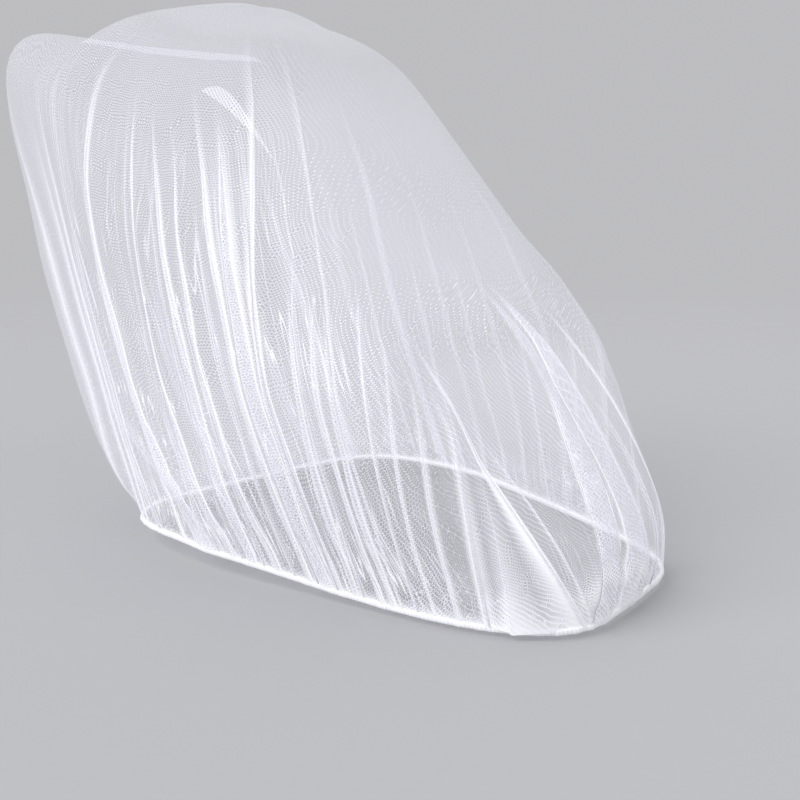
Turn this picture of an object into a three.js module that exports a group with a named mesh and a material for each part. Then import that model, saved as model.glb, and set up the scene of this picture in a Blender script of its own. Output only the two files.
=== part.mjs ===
// A mosquito net cover, pulled on and hanging as it is used, in millimetres.
// It is one sheet of fine even net, hollow below, with an elastic edging sewn round its open hem.
// X runs forward, Y to the left and Z up. The origin is under the crown, where the net is held up.
// The net has no frame of its own. It is worked out as a taut skin over a few ridges, which is
// then let sink in its loose places and raised along its tension folds. Sizes below are counted
// from a point on the centre line, level with the hem, and the whole is moved to its origin last.
import * as THREE from 'three';
import { ConvexHull } from 'three/addons/math/ConvexHull.js';

// The sheet: thickness, and how finely its skin is worked out and then kept
const sheet = {
  thickness: 1.5,
  fineColumns: 240,
  fineRows: 60,
  rounding: 10, // rounds of averaging, which turn sharp ridges into soft ones
  keepColumn: 3, // every third fine column is kept where the folds are few
  closeFrom: -830, // stations along the hem between which every column is kept
  closeTo: -290,
};

// The fine rows that are kept, crown to hem: close together over the shoulders, where the net bends
const keptRows = [
  { upTo: 12, step: 4 },
  { upTo: 26, step: 2 },
  { upTo: 50, step: 4 },
  { upTo: 56, step: 3 },
  { upTo: 60, step: 2 },
];

// The elastic edging, a flat oval tape below the sheet's edge
const edging = { width: 5, height: 7, gap: 0.3, corner: 1.6 };

// The point that the skin is seen from, inside the hollow, and the crown that its columns start from
const middle = new THREE.Vector3(120, 0, 200);
const crown = new THREE.Vector3(-100, 0, 720);

// Level ridges: x at the rear and front, half width, share by which it narrows to the front,
// turn of the front to the right, height, how far the front hangs lower, squareness,
// x of the widest place, and the x from which the ridge counts
const hem = {
  rear: -138, front: 574, half: 276, taper: 0.31, skew: 0.17,
  height: -8, drop: 22, power: 4.5, wide: 100, from: -Infinity,
};
const nose = {
  rear: -100, front: 590, half: 264, taper: 0.26, skew: 0.17,
  height: 36, drop: 12, power: 3.6, wide: 150, from: 250,
};
const waist = {
  rear: -190, front: 412, half: 282, taper: 0.05, skew: 0,
  height: 228, drop: 0, power: 4.2, wide: 150, from: -Infinity,
};
const dropRun = 500; // length over which the front drop comes in
const ringSteps = 48;

// Arches over the top: they all spring from one cross line, and lean forward by so many degrees
const springing = { x: -160, z: 354 };
const arches = [
  { name: 'rear arch', lean: -28, reach: 330, half: 235, power: 2.4 },
  { name: 'crown arch', lean: -12, reach: 370, half: 262, power: 2.4 },
  { name: 'middle arch', lean: 10, reach: 378, half: 266, power: 2.5 },
  { name: 'brow arch', lean: 37, reach: 378, half: 270, power: 2.7 },
];
const archSteps = 16;

// The cross ridge at the rear peak, and the loose back edge that falls from it to the hem
const rearPeak = [
  { x: -424, y: 0, z: 696 },
  { x: -424, y: 235, z: 696 },
  { x: -416, y: 266, z: 668 },
];
const backEdge = [
  { x: -456, y: 240, z: 590 },
  { x: -444, y: 240, z: 542 },
  { x: -352, y: 240, z: 344 },
  { x: -300, y: 240, z: 209 },
  { x: -258, y: 240, z: 124 },
  { x: -190, y: 220, z: 50 },
];

// Loose places, where the sheet sinks below the taut skin
const sags = [
  { name: 'behind the crown', x: -312, y: 0, z: 690, overX: 58, overY: 330, overZ: 90, depth: 44 },
  { name: 'between the arches', x: -40, y: 0, z: 715, overX: 50, overY: 240, overZ: 90, depth: 6 },
  { name: 'front slope', x: 300, y: 0, z: 420, overX: 150, overY: 120, overZ: 130, depth: 12 },
];

// Tension folds: the hem station, in mm along the hem from its front middle and less than 0 on the
// right, that each one is in line with at its top, on its way and at the hem; where it starts
// between the crown, 0, and the hem, 1; how far it stands out; its half width; and the share of
// its height that is left at the hem
const folds = [
  { name: 'right 1', top: -745, way: -790, foot: -752, start: 0.30, out: 8, half: 13, left: 0.5 },
  { name: 'right 2', top: -640, way: -775, foot: -622, start: 0.22, out: 13, half: 22, left: 0.3 },
  { name: 'right 3', top: -655, way: -700, foot: -660, start: 0.30, out: 6, half: 11, left: 0.4 },
  { name: 'right 4', top: -571, way: -640, foot: -598, start: 0.26, out: 9, half: 12, left: 0.3 },
  { name: 'right 5', top: -544, way: -543, foot: -571, start: 0.29, out: 8, half: 12, left: 0.3 },
  { name: 'right 6', top: -506, way: -514, foot: -516, start: 0.28, out: 11, half: 14, left: 0.3 },
  { name: 'right 7', top: -464, way: -455, foot: -480, start: 0.28, out: 8, half: 12, left: 0.3 },
  { name: 'right 8', top: -423, way: -445, foot: -443, start: 0.27, out: 12, half: 14, left: 0.3 },
  { name: 'right 9', top: -360, way: -420, foot: -404, start: 0.22, out: 9, half: 13, left: 0.3 },
  { name: 'right 10', top: -330, way: -364, foot: -356, start: 0.50, out: 9, half: 13, left: 0.3 },
  { name: 'right 11', top: -290, way: -330, foot: -322, start: 0.55, out: 6, half: 12, left: 0.3 },
  { name: 'front 1', top: -180, way: -215, foot: -232, start: 0.70, out: 7, half: 24, left: 0.5 },
  { name: 'front 2', top: -215, way: -160, foot: -108, start: 0.66, out: 8, half: 26, left: 0.5 },
  { name: 'front 3', top: -70, way: -20, foot: -10, start: 0.50, out: 9, half: 30, left: 0.5 },
  { name: 'front 4', top: 20, way: 60, foot: 110, start: 0.62, out: 8, half: 30, left: 0.5 },
  { name: 'left 1', top: 235, way: 300, foot: 290, start: 0.45, out: 8, half: 30, left: 0.3 },
  { name: 'left 2', top: 380, way: 400, foot: 390, start: 0.28, out: 10, half: 32, left: 0.3 },
  { name: 'left 3', top: 470, way: 500, foot: 486, start: 0.26, out: 9, half: 30, left: 0.3 },
  { name: 'left 4', top: 560, way: 600, foot: 585, start: 0.26, out: 11, half: 32, left: 0.3 },
  { name: 'left 5', top: 650, way: 730, foot: 680, start: 0.24, out: 10, half: 30, left: 0.3 },
  { name: 'left 6', top: 760, way: 800, foot: 775, start: 0.32, out: 9, half: 30, left: 0.4 },
  { name: 'back 1', top: 905, way: 890, foot: 880, start: 0.42, out: 12, half: 36, left: 0.4 },
  { name: 'back 2', top: 1000, way: 985, foot: 975, start: 0.44, out: 15, half: 38, left: 0.4 },
  { name: 'back 3', top: -1070, way: -1060, foot: -1066, start: 0.45, out: 12, half: 36, left: 0.4 },
  { name: 'back 4', top: -975, way: -950, foot: -960, start: 0.43, out: 14, half: 36, left: 0.4 },
  { name: 'back 5', top: -890, way: -868, foot: -862, start: 0.41, out: 9, half: 30, left: 0.4 },
];
const rise = 0.14; // share of the way from crown to hem over which a fold comes up, and dies away
const edgeOn = 1e-6; // a plane that faces a line by less than this is never met

// A soft step from 0 to 1
function softStep(t) {
  const k = THREE.MathUtils.clamp(t, 0, 1);
  return k * k * (3 - 2 * k);
}

// A cosine or sine pulled towards a square by the given power
function squared(value, power) {
  return Math.sign(value) * Math.abs(value) ** (2 / power);
}

// One point of a level ridge, at an angle that starts at the front and turns to the left
function ringPoint(ring, angle) {
  const along = squared(Math.cos(angle), ring.power);
  const ahead = Math.max(along, 0);
  const reach = along > 0 ? ring.front - ring.wide : ring.wide - ring.rear;
  const y = ring.half * squared(Math.sin(angle), ring.power) * (1 - ring.taper * ahead);
  const x = ring.wide + along * reach - ring.skew * y * ahead;
  return new THREE.Vector3(x, y, ring.height - ring.drop * softStep(x / dropRun));
}

// All points of a level ridge, evenly spaced in angle
function ringPoints(ring, steps) {
  const points = [];
  for (let k = 0; k < steps; k += 1) {
    points.push(ringPoint(ring, (2 * Math.PI * k) / steps));
  }
  return points.filter((point) => point.x > ring.from);
}

// An arch: half an oval on the springing line, tipped forward
function archPoints(arch) {
  const lean = THREE.MathUtils.degToRad(arch.lean);
  const points = [];
  for (let k = 0; k <= archSteps; k += 1) {
    const angle = (Math.PI * k) / archSteps;
    const y = arch.half * squared(Math.cos(angle), arch.power);
    const up = arch.reach * squared(Math.abs(Math.sin(angle)), arch.power);
    points.push(new THREE.Vector3(springing.x + up * Math.sin(lean), y, springing.z + up * Math.cos(lean)));
  }
  return points;
}

// The planes of the taut skin over all ridges
function skinPlanes() {
  const points = [hem, nose, waist].flatMap((ring) => ringPoints(ring, ringSteps));
  points.push(...arches.flatMap(archPoints));
  for (const { x, y, z } of [...rearPeak, ...backEdge]) {
    points.push(new THREE.Vector3(x, y, z), new THREE.Vector3(x, -y, z));
  }
  const hull = new ConvexHull().setFromPoints(points);
  return hull.faces.map((face) => ({
    normal: face.normal.clone(),
    away: face.constant - face.normal.dot(middle),
  }));
}

// Where the line from the middle, in the given direction, meets the skin
function skinPoint(planes, direction) {
  let reach = Infinity;
  for (const plane of planes) {
    const facing = plane.normal.dot(direction);
    if (facing > edgeOn) {
      reach = Math.min(reach, plane.away / facing);
    }
  }
  return middle.clone().addScaledVector(direction, reach);
}

// The hem line, at even steps of length from the front middle round by the left
function evenHem(count) {
  const fine = ringPoints(hem, 4 * count);
  const lengths = [0];
  for (let k = 0; k < fine.length; k += 1) {
    lengths.push(lengths[k] + fine[k].distanceTo(fine[(k + 1) % fine.length]));
  }
  const total = lengths[fine.length];
  const points = [];
  let k = 0;
  for (let i = 0; i < count; i += 1) {
    const target = (total * i) / count;
    while (lengths[k + 1] < target) {
      k += 1;
    }
    const share = (target - lengths[k]) / (lengths[k + 1] - lengths[k]);
    points.push(fine[k].clone().lerp(fine[(k + 1) % fine.length], share));
  }
  return { points, total };
}

// The taut skin as columns from the crown to the hem, each turning evenly about the middle
function tautGrid(hemLine) {
  const planes = skinPlanes();
  const up = crown.clone().sub(middle).normalize();
  return hemLine.points.map((end) => {
    const out = end.clone().sub(middle).normalize();
    const turn = up.angleTo(out);
    const column = [];
    for (let j = 0; j <= sheet.fineRows; j += 1) {
      const share = j / sheet.fineRows;
      const direction = up.clone().multiplyScalar(Math.sin((1 - share) * turn) / Math.sin(turn));
      direction.addScaledVector(out, Math.sin(share * turn) / Math.sin(turn));
      column.push(skinPoint(planes, direction));
    }
    return column;
  });
}

// One round of averaging, which leaves the hem where it is and keeps the crown closed
function averaged(grid) {
  const count = grid.length;
  const last = sheet.fineRows;
  const next = grid.map((column, i) => {
    const left = grid[(i + 1) % count];
    const right = grid[(i + count - 1) % count];
    return column.map((point, j) => {
      if (j === 0 || j === last) {
        return point.clone();
      }
      const sum = point.clone().multiplyScalar(4).add(left[j]).add(right[j]);
      return sum.add(column[j - 1]).add(column[j + 1]).divideScalar(8);
    });
  });
  const top = new THREE.Vector3();
  grid.forEach((column) => top.addScaledVector(column[1], 1 / count));
  next.forEach((column) => column[0].copy(top));
  return next;
}

// Lowers the loose places
function sink(point) {
  for (const sag of sags) {
    const dx = (point.x - sag.x) / sag.overX;
    const dy = (point.y - sag.y) / sag.overY;
    const dz = (point.z - sag.z) / sag.overZ;
    point.z -= sag.depth * Math.exp(-dx * dx - dy * dy - dz * dz);
  }
}

// How far the folds stand out at a station along the hem and a share of the way down
function foldHeight(station, share, hemLength) {
  let height = 0;
  for (const fold of folds) {
    const t = (share - fold.start) / (1 - fold.start);
    if (t > 0) {
      const line = fold.top * (1 - t) ** 2 + 2 * fold.way * t * (1 - t) + fold.foot * t ** 2;
      let off = station - line;
      off -= hemLength * Math.round(off / hemLength);
      const comes = softStep((share - fold.start) / rise);
      const stays = 1 - (1 - fold.left) * softStep((share - 1 + rise) / rise);
      height += fold.out * comes * stays * Math.exp(-((off / fold.half) ** 2));
    }
  }
  return height;
}

// The outward direction at each point of a grid
function outward(grid) {
  const count = grid.length;
  return grid.map((column, i) => column.map((point, j) => {
    if (j === 0) {
      return new THREE.Vector3(0, 0, 1);
    }
    const across = grid[(i + 1) % count][j].clone().sub(grid[(i + count - 1) % count][j]);
    const down = column[Math.min(j + 1, column.length - 1)].clone().sub(column[j - 1]);
    return down.cross(across).normalize();
  }));
}

// The numbers of the fine rows that are kept
function rowNumbers() {
  const numbers = [0];
  for (const { upTo, step } of keptRows) {
    while (numbers.at(-1) < upTo) {
      numbers.push(Math.min(numbers.at(-1) + step, upTo));
    }
  }
  return numbers;
}

// The hanging sheet: skin, rounding, loose places and folds, thinned to the kept columns and rows
function hangingSheet() {
  const rows = rowNumbers();
  const hemLine = evenHem(sheet.fineColumns);
  let grid = tautGrid(hemLine);
  for (let round = 0; round < sheet.rounding; round += 1) {
    grid = averaged(grid);
  }
  grid.flat().forEach(sink);
  const normals = outward(grid);
  const kept = [];
  grid.forEach((column, i) => {
    let station = (hemLine.total * i) / grid.length;
    station -= hemLine.total * Math.round(station / hemLine.total);
    const close = station > sheet.closeFrom && station < sheet.closeTo;
    if (close || i % sheet.keepColumn === 0) {
      kept.push(rows.map((j) => {
        const height = foldHeight(station, j / sheet.fineRows, hemLine.total);
        return column[j].clone().addScaledVector(normals[i][j], height);
      }));
    }
  });
  return kept;
}

// A closed mesh from its points and faces, each face given by the numbers of its corners
function solid(name, points, faces, material) {
  const geometry = new THREE.BufferGeometry().setFromPoints(points);
  geometry.setIndex(faces.flat());
  geometry.computeVertexNormals();
  const mesh = new THREE.Mesh(geometry, material);
  mesh.name = name;
  return mesh;
}

// The sheet as a thin shell: an outer and an inner skin, joined round the hem
function netSheet(grid, normals) {
  const count = grid.length;
  const rows = grid[0].length - 1;
  const points = [];
  const side = (depth) => {
    const start = points.length;
    points.push(grid[0][0].clone().addScaledVector(normals[0][0], -depth));
    for (let j = 1; j <= rows; j += 1) {
      grid.forEach((column, i) => points.push(column[j].clone().addScaledVector(normals[i][j], -depth)));
    }
    return (i, j) => (j === 0 ? start : start + 1 + (j - 1) * count + (i % count));
  };
  const outer = side(0);
  const inner = side(sheet.thickness);
  const faces = [];
  for (let i = 0; i < count; i += 1) {
    faces.push([outer(i, 0), outer(i, 1), outer(i + 1, 1)], [inner(i, 0), inner(i + 1, 1), inner(i, 1)]);
    for (let j = 1; j < rows; j += 1) {
      faces.push([outer(i, j), outer(i, j + 1), outer(i + 1, j + 1)]);
      faces.push([outer(i, j), outer(i + 1, j + 1), outer(i + 1, j)]);
      faces.push([inner(i, j), inner(i + 1, j + 1), inner(i, j + 1)]);
      faces.push([inner(i, j), inner(i + 1, j), inner(i + 1, j + 1)]);
    }
    faces.push([outer(i, rows), inner(i, rows), inner(i + 1, rows)]);
    faces.push([outer(i, rows), inner(i + 1, rows), outer(i + 1, rows)]);
  }
  const material = new THREE.MeshStandardMaterial({ color: '#f1f0f8', roughness: 0.75, metalness: 0 });
  return solid('net_sheet', points, faces, material);
}

// The elastic edging: an upright oval section carried round just below the sheet's edge
function elasticEdging(grid, normals) {
  const count = grid.length;
  const rows = grid[0].length - 1;
  const { width, height, gap, corner } = edging;
  const section = [
    { out: width / 2 - corner, up: 0 },
    { out: width / 2, up: -corner },
    { out: width / 2, up: corner - height },
    { out: width / 2 - corner, up: -height },
    { out: corner - width / 2, up: -height },
    { out: -width / 2, up: corner - height },
    { out: -width / 2, up: -corner },
    { out: corner - width / 2, up: 0 },
  ];
  const points = [];
  grid.forEach((column, i) => {
    const level = normals[i][rows].clone().setZ(0).normalize();
    const centre = column[rows].clone().addScaledVector(level, -sheet.thickness / 2);
    for (const { out, up } of section) {
      const point = centre.clone().addScaledVector(level, out);
      point.z += up - gap - lowerLip(normals[i][rows]);
      points.push(point);
    }
  });
  const sides = section.length;
  const faces = [];
  for (let i = 0; i < count; i += 1) {
    const here = i * sides;
    const next = ((i + 1) % count) * sides;
    for (let k = 0; k < sides; k += 1) {
      const m = (k + 1) % sides;
      faces.push([here + k, here + m, next + m], [here + k, next + m, next + k]);
    }
  }
  const material = new THREE.MeshStandardMaterial({ color: '#fbfbfe', roughness: 0.85, metalness: 0 });
  return solid('elastic_edging', points, faces, material);
}

// How far the inner lip of the sheet's edge reaches below its outer lip, where the sheet leans
function lowerLip(normal) {
  return Math.max(0, sheet.thickness * normal.z);
}

const grid = hangingSheet();
const normals = outward(grid);
const net = new THREE.Group();
net.add(netSheet(grid, normals), elasticEdging(grid, normals));
net.position.copy(grid[0][0]).negate();
net.position.z += sheet.thickness;

export default net;
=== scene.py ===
import math

import bmesh
import bpy
import numpy as np
from mathutils import Matrix, Vector


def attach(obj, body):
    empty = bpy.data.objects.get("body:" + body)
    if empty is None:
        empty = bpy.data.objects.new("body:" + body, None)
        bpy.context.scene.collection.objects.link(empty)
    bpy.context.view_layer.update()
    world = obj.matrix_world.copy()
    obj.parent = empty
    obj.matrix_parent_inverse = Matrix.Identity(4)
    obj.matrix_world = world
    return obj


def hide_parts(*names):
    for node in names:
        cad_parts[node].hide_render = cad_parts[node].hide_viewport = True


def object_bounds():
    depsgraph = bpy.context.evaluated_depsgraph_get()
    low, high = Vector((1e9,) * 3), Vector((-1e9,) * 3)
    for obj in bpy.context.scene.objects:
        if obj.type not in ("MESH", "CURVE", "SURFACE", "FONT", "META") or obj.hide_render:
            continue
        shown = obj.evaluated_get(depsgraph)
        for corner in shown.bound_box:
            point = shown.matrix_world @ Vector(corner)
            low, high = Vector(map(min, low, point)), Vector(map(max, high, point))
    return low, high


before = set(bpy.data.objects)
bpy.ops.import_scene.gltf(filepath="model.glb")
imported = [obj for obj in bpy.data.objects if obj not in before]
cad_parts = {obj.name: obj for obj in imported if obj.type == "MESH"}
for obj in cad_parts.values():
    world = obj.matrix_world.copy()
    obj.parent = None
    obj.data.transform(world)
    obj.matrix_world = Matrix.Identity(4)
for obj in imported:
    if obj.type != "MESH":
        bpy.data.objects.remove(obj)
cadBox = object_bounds()
mm = 0.001
print("stage: frame loaded")


# View

camera = {
    "place": (1.3386, -1.0907, -0.2759),
    "turn": 44.0,  # degrees from the cross direction to the net's length
    "down": 10.5,  # degrees below level
    "lens": 49.41,
    "farthest": 60,  # metres
}


def addCamera():
    # The level right hand direction, the look dipped below level, and up at right angles to both
    turn, down = math.radians(camera["turn"]), math.radians(camera["down"])
    right = Vector((math.cos(turn), math.sin(turn), 0))
    ahead = Vector((-math.sin(turn), math.cos(turn), 0))
    look = ahead * math.cos(down) - Vector((0, 0, math.sin(down)))
    up = right.cross(look)
    data = bpy.data.cameras.new("camera")
    data.lens = camera["lens"]
    data.clip_end = camera["farthest"]
    obj = bpy.data.objects.new("camera", data)
    turned = Matrix((right, up, -look)).transposed().to_4x4()
    obj.matrix_world = Matrix.Translation(camera["place"]) @ turned
    bpy.context.scene.collection.objects.link(obj)
    bpy.context.scene.camera = obj


studio = {
    "floorDrop": 0.006,  # below the lowest point of the net
    "floorReach": 9.0,
    "floorSteps": 96,
    "floorColour": (0.392, 0.394, 0.407),
    "floorRoughness": 0.9,
    "skyColour": (0.51, 0.512, 0.53),
    "fadeFrom": 0.6,
    "fadeTo": 5.0,
    "layers": 48,  # see-through layers that a ray may pass, as the net lies in many
    "lamps": {  # where the light comes from, its strength, and how wide its source looks, in degrees
        "key": {"way": (-0.30, -0.92, 0.72), "strength": 2.5, "wide": 55},
        "fill": {"way": (0.95, 0.15, 0.55), "strength": 1.0, "wide": 80},
        "back": {"way": (-0.60, 0.70, 0.75), "strength": 1.1, "wide": 80},
    },
}


def addLamp(name, way, strength, wide):
    # A sun that shines from its way towards the middle
    data = bpy.data.lights.new(name, "SUN")
    data.energy = strength
    data.angle = math.radians(wide)
    obj = bpy.data.objects.new(name, data)
    obj.rotation_mode = "QUATERNION"
    obj.rotation_quaternion = (-Vector(way)).to_track_quat("-Z", "Y")
    bpy.context.scene.collection.objects.link(obj)


def addStudio():
    # A round floor that fades out with its distance from the middle, under an even sky
    low = cadBox[0].z - studio["floorDrop"]
    steps, reach = studio["floorSteps"], studio["floorReach"]
    angles = np.linspace(0, 2 * np.pi, steps, endpoint=False)
    rim = np.stack([reach * np.cos(angles), reach * np.sin(angles), np.full(steps, low)], 1)
    mesh = bpy.data.meshes.new("floor")
    mesh.from_pydata(rim.tolist(), [], [list(range(steps))])
    floor = bpy.data.objects.new("floor", mesh)
    bpy.context.scene.collection.objects.link(floor)
    mat = bpy.data.materials.new("floor")
    mat.use_nodes = True
    nodes, links = mat.node_tree.nodes, mat.node_tree.links
    shader = nodes["Principled BSDF"]
    shader.inputs["Base Color"].default_value = (*studio["floorColour"], 1)
    shader.inputs["Roughness"].default_value = studio["floorRoughness"]
    shader.inputs["Specular IOR Level"].default_value = 0
    where = nodes.new("ShaderNodeTexCoord")
    far = nodes.new("ShaderNodeVectorMath")
    far.operation = "LENGTH"
    fade = nodes.new("ShaderNodeMapRange")
    fade.interpolation_type = "SMOOTHSTEP"
    fade.inputs["From Min"].default_value = studio["fadeFrom"]
    fade.inputs["From Max"].default_value = studio["fadeTo"]
    fade.inputs["To Min"].default_value = 1
    fade.inputs["To Max"].default_value = 0
    links.new(where.outputs["Object"], far.inputs[0])
    links.new(far.outputs["Value"], fade.inputs["Value"])
    links.new(fade.outputs["Result"], shader.inputs["Alpha"])
    mesh.materials.append(mat)
    world = bpy.data.worlds.new("studio")
    world.use_nodes = True
    world.node_tree.nodes["Background"].inputs["Color"].default_value = (*studio["skyColour"], 1)
    scene = bpy.context.scene
    scene.world = world
    scene.view_settings.view_transform = "Standard"
    scene.cycles.transparent_max_bounces = studio["layers"]
    for name, values in studio["lamps"].items():
        addLamp(name, **values)


addCamera()
addStudio()
print("stage: camera and studio")


# Net: the taut skin. Sizes in mm, counted from a point on the centre line, level with the hem.
# Stations are mm along the hem from its front middle, less than 0 on the right. A share of the way
# down is 0 at the crown and 1 at the hem.

skin = {
    "thickness": 1.5,
    "columns": 480,
    "rows": 120,
    "rounding": 40,
    "ringSteps": 48,
    "archSteps": 17,
    "edgeOn": 1e-6,  # a plane that faces a line by less than this is never met
    "middle": (120, 0, 200),
    "crown": (-100, 0, 720),
    "springing": (-160, 354),
    "dropRun": 500,
    "hem": {"rear": -138, "front": 574, "half": 276, "taper": 0.31, "skew": 0.17,
            "height": -8, "drop": 22, "power": 4.5, "wide": 100, "first": -1e6},
    "nose": {"rear": -100, "front": 590, "half": 264, "taper": 0.26, "skew": 0.17,
             "height": 36, "drop": 12, "power": 3.6, "wide": 150, "first": 250},
    "waist": {"rear": -190, "front": 412, "half": 282, "taper": 0.05, "skew": 0,
              "height": 228, "drop": 0, "power": 4.2, "wide": 150, "first": -1e6},
    "arches": (  # lean, reach, half width, squareness
        (-28, 330, 235, 2.4), (-12, 370, 262, 2.4), (10, 378, 266, 2.5), (37, 378, 270, 2.7),
    ),
    "rearPeak": ((-424, 0, 696), (-424, 235, 696), (-416, 266, 668)),
    "backEdge": (
        (-456, 240, 590), (-444, 240, 542), (-352, 240, 344),
        (-300, 240, 209), (-258, 240, 124), (-190, 220, 50),
    ),
    "sags": (  # place, reach each way, depth
        ((-312, 0, 690), (58, 330, 90), 44),
        ((-40, 0, 715), (50, 240, 90), 6),
        ((300, 0, 420), (150, 120, 130), 12),
    ),
}


def softStep(t):
    # Three t squared less two t cubed, between 0 and 1
    k = np.clip(t, 0, 1)
    return k * k * (3 - 2 * k)


def squared(value, power):
    # The value's size to the power two over power, with its sign
    return np.sign(value) * np.abs(value) ** (2 / power)


def ringPoints(ring, steps):
    # A level superellipse whose front half narrows, turns to the right and drops by a soft step
    angle = np.arange(steps) * 2 * np.pi / steps
    along = squared(np.cos(angle), ring["power"])
    ahead = np.maximum(along, 0)
    reach = np.where(along > 0, ring["front"] - ring["wide"], ring["wide"] - ring["rear"])
    y = ring["half"] * squared(np.sin(angle), ring["power"]) * (1 - ring["taper"] * ahead)
    x = ring["wide"] + along * reach - ring["skew"] * y * ahead
    z = ring["height"] - ring["drop"] * softStep(x / skin["dropRun"])
    points = np.stack([x, y, z], 1)
    return points[x > ring["first"]]


def archPoints(lean, reach, half, power):
    # Half a superellipse on the springing line, tipped forward by lean degrees
    angle = np.linspace(0, np.pi, skin["archSteps"])
    up = reach * squared(np.abs(np.sin(angle)), power)
    tip = math.radians(lean)
    x0, z0 = skin["springing"]
    y = half * squared(np.cos(angle), power)
    return np.stack([x0 + up * math.sin(tip), y, z0 + up * math.cos(tip)], 1)


def skinPlanes():
    # The planes of the smallest bulging skin over all ridges, as normals and distances
    parts = [ringPoints(skin[name], skin["ringSteps"]) for name in ("hem", "nose", "waist")]
    parts += [archPoints(*arch) for arch in skin["arches"]]
    edges = np.array(skin["rearPeak"] + skin["backEdge"], float)
    parts += [edges, edges * (1, -1, 1)]
    bm = bmesh.new()
    for point in np.vstack(parts):
        bm.verts.new(point)
    made = bmesh.ops.convex_hull(bm, input=bm.verts)
    faces = [f for f in made["geom"] if isinstance(f, bmesh.types.BMFace)]
    corners = np.array([[v.co[:] for v in f.verts[:3]] for f in faces])
    bm.free()
    normals = np.cross(corners[:, 1] - corners[:, 0], corners[:, 2] - corners[:, 0])
    normals /= np.linalg.norm(normals, axis=1, keepdims=True)
    away = ((corners[:, 0] - skin["middle"]) * normals).sum(1)
    side = np.sign(away)
    return normals * side[:, None], away * side


def evenHem(count):
    # The hem at even steps of its own length, from the front middle round by the left
    fine = ringPoints(skin["hem"], 4 * count)
    loop = np.vstack([fine, fine[:1]])
    length = np.concatenate([[0], np.cumsum(np.linalg.norm(np.diff(loop, axis=0), axis=1))])
    at = np.arange(count) * length[-1] / count
    return np.stack([np.interp(at, length, loop[:, k]) for k in range(3)], 1), length[-1]


def tautGrid(hemLine):
    # From the middle, a direction turns evenly from the crown to each hem point, and reaches the
    # nearest of the skin's planes
    middle = np.array(skin["middle"], float)
    up = np.array(skin["crown"], float) - middle
    up /= np.linalg.norm(up)
    out = hemLine - middle
    out /= np.linalg.norm(out, axis=1, keepdims=True)
    turn = np.arccos(out @ up)[:, None]
    share = np.linspace(0, 1, skin["rows"] + 1)[None, :]
    a = np.sin((1 - share) * turn) / np.sin(turn)
    b = np.sin(share * turn) / np.sin(turn)
    way = a[..., None] * up + b[..., None] * out[:, None, :]
    normals, away = skinPlanes()
    facing = way @ normals.T
    least = skin["edgeOn"]
    reach = np.where(facing > least, away / np.maximum(facing, least), np.inf).min(-1)
    return middle + way * reach[..., None]


def rounded(grid):
    # Each point moves to the mean of itself, counted four times, and its four neighbours
    for _ in range(skin["rounding"]):
        inner = grid[:, 1:-1] * 4 + grid[:, :-2] + grid[:, 2:]
        inner += np.roll(grid, 1, 0)[:, 1:-1] + np.roll(grid, -1, 0)[:, 1:-1]
        top = grid[:, 1].mean(0)
        grid = np.concatenate([grid[:, :1], inner / 8, grid[:, -1:]], 1)
        grid[:, 0] = top
    return grid


def sunk(grid):
    # Each loose place lowers the skin by a bell of its own reach and depth
    for place, reach, depth in skin["sags"]:
        off = ((grid - place) / reach) ** 2
        grid[..., 2] -= depth * np.exp(-off.sum(-1))
    return grid


def outward(grid):
    # The cross product of the way down and the way round, of length one
    across = np.roll(grid, -1, 0) - np.roll(grid, 1, 0)
    down = np.gradient(grid, axis=1)
    normal = np.cross(down, across)
    normal[:, 0] = (0, 0, 1)
    return normal / np.linalg.norm(normal, axis=-1, keepdims=True)


def sampled(grid, station, share, hemLength):
    # A smooth cubic through the four nearest grid lines each way, which closes on itself round the hem
    count, rows = grid.shape[0], grid.shape[1] - 1
    u = np.mod(station / hemLength, 1) * count
    v = np.clip(share, 0, 1) * rows
    i, j = np.floor(u).astype(int), np.minimum(np.floor(v).astype(int), rows - 1)
    result = 0
    for di, wi in cubicWeights(u - i):
        for dj, wj in cubicWeights(v - j):
            near = grid[(i + di) % count, np.clip(j + dj, 0, rows)]
            result = result + near * (wi * wj)[..., None]
    return result


def cubicWeights(t):
    # The four weights of a cubic that runs through its points
    return (
        (-1, 0.5 * (-t + 2 * t**2 - t**3)),
        (0, 0.5 * (2 - 5 * t**2 + 3 * t**3)),
        (1, 0.5 * (t + 4 * t**2 - 3 * t**3)),
        (2, 0.5 * (-(t**2) + t**3)),
    )


hemLine, hemLength = evenHem(skin["columns"])
base = sunk(rounded(tautGrid(hemLine)))
base += np.array((0, 0, skin["thickness"])) - base[0, 0]
baseOut = outward(base)
print("stage: taut skin", base.shape, "hem", round(hemLength), "mm")


# Net: its folds

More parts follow.
